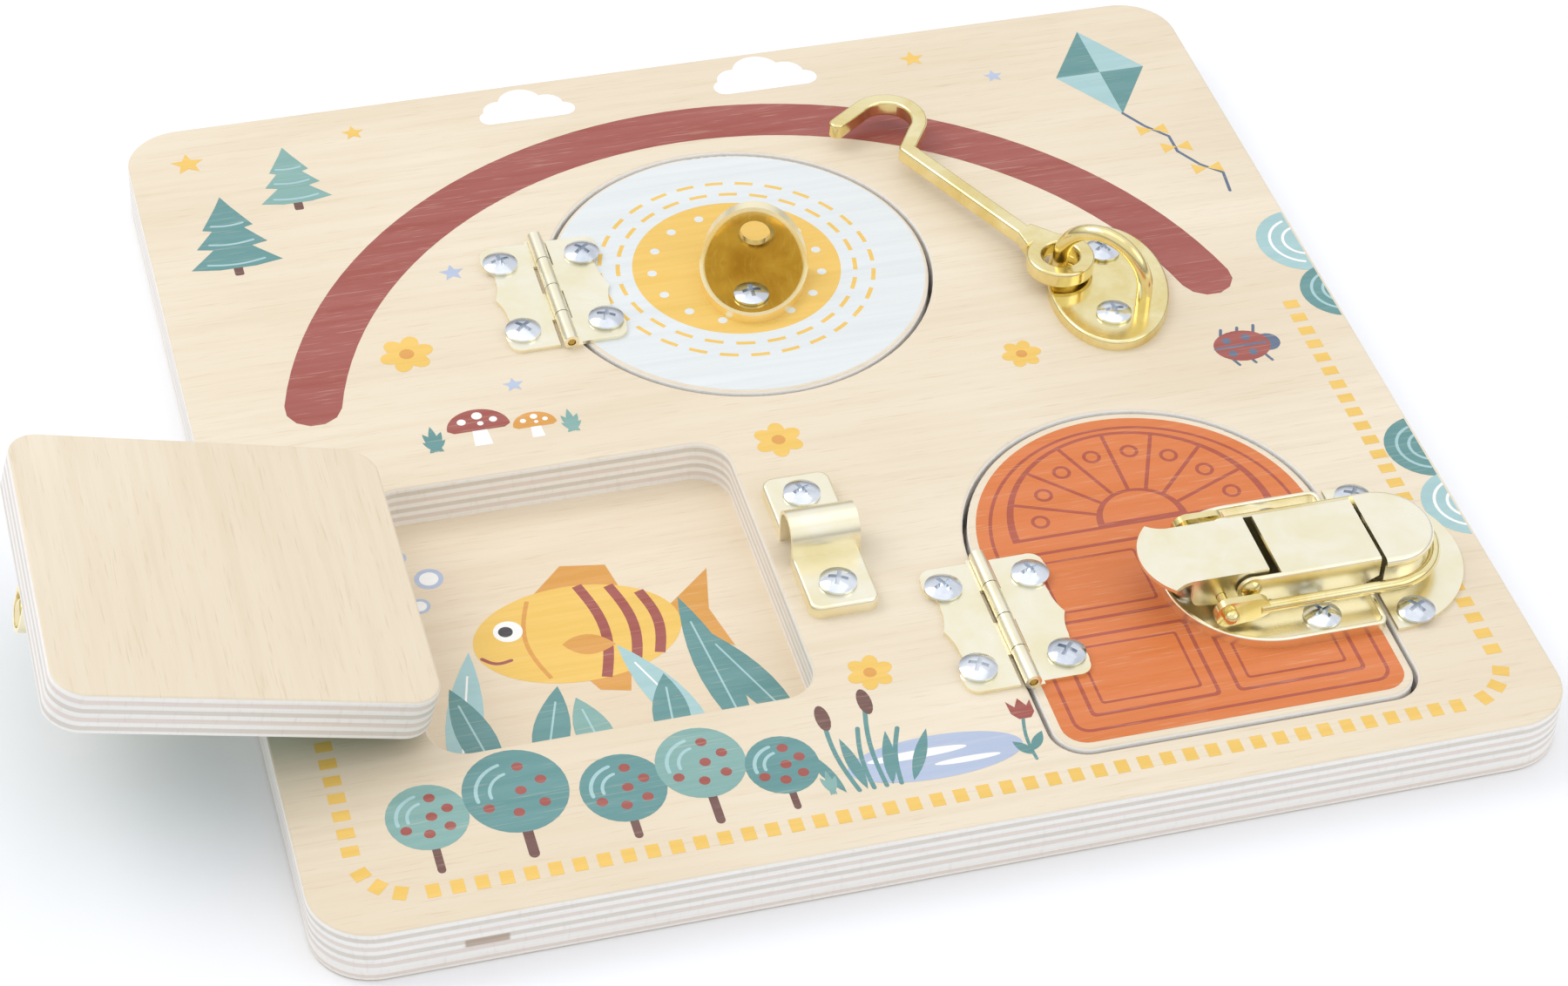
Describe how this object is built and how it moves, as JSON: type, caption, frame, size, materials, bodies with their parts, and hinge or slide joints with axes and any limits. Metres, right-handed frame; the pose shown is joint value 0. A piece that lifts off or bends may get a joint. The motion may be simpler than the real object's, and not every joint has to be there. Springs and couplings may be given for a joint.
{
  "type": "wooden busy board",
  "caption": "Square plywood activity board with a round window, a square lid and an arched door, each hinged and held by its own kind of small metal fastener.",
  "frame": {"origin": "middle of the flat back of the board", "axes": "+X right, +Y to the far edge (the round window's side), +Z out of the board's printed face; the board lies flat"},
  "size_m": [0.3518, 0.3, 0.0535],
  "materials": {
    "birch_panel": "satin",
    "brass_fitting": "polished",
    "zinc_screw": "satin"
  },
  "bodies": {
    "board": {"base_panel": "birch_panel", "top_panel": "birch_panel", "window_hinge_board_leaf": "brass_fitting", "window_hinge_pin": "brass_fitting", "lid_hinge_board_leaf": "brass_fitting", "lid_hinge_pin": "brass_fitting", "door_hinge_board_leaf": "brass_fitting", "door_hinge_pin": "brass_fitting", "bolt_keeper": "brass_fitting", "hook_plate": "brass_fitting", "hook_staple": "brass_fitting", "latch_catch": "brass_fitting", "board_hinge_screws": "zinc_screw", "keeper_screws": "zinc_screw", "hook_plate_screws": "zinc_screw", "catch_screws": "zinc_screw"},
    "window_disc": {"disc_panel": "birch_panel", "window_hinge_disc_leaf": "brass_fitting", "hook_bracket": "brass_fitting", "disc_screws": "zinc_screw"},
    "square_lid": {"lid_panel": "birch_panel", "lid_hinge_lid_leaf": "brass_fitting", "bolt_barrel": "brass_fitting", "lid_screws": "zinc_screw"},
    "slide_bolt": {"bolt_rod": "brass_fitting", "bolt_knob": "brass_fitting"},
    "arched_door": {"door_panel": "birch_panel", "door_hinge_door_leaf": "brass_fitting", "latch_base": "brass_fitting", "latch_housing": "brass_fitting", "latch_pivot_rivet": "brass_fitting", "door_screws": "zinc_screw"},
    "latch_lever": {"latch_lever": "brass_fitting"},
    "latch_bail": {"latch_bail": "brass_fitting", "bail_pin": "brass_fitting"},
    "hook": {"cabin_hook": "brass_fitting"}
  },
  "joints": [
    {"name": "window_hinge", "type": "hinge", "parent": "board", "child": "window_disc", "pos_m": [-0.0503, 0.0569, 0.01705], "axis": [0, -1, 0], "range_deg": [0, 150]},
    {"name": "lid_hinge", "type": "hinge", "parent": "board", "child": "square_lid", "pos_m": [-0.113, -0.0543, 0.01705], "axis": [0, -1, 0], "range_deg": [-165, 0]},
    {"name": "door_hinge", "type": "hinge", "parent": "board", "child": "arched_door", "pos_m": [0.0268, -0.0888, 0.01705], "axis": [0, -1, 0], "range_deg": [0, 150]},
    {"name": "bolt_slide", "type": "slide", "parent": "square_lid", "child": "slide_bolt", "axis": [-0.9659, 0, 0.2588], "range_m": [0, 0.02]},
    {"name": "lever_pivot", "type": "hinge", "parent": "arched_door", "child": "latch_lever", "pos_m": [0.085, -0.088, 0.0228], "axis": [0, 1, 0], "range_deg": [0, 120]},
    {"name": "bail_pivot", "type": "hinge", "parent": "latch_lever", "child": "latch_bail", "pos_m": [0.078, -0.088, 0.0209], "axis": [0, 1, 0], "range_deg": [-110.4, 0]},
    {"name": "hook_swing", "type": "hinge", "parent": "board", "child": "hook", "pos_m": [0.081, 0.033, 0.0213], "axis": [0.0985, 0.0591, 0.9934], "range_deg": [-12, 44.8]}
  ],
  "couplings": [
    {"joint": "bail_pivot", "follows": "lever_pivot", "ratio": -0.92}
  ]
}
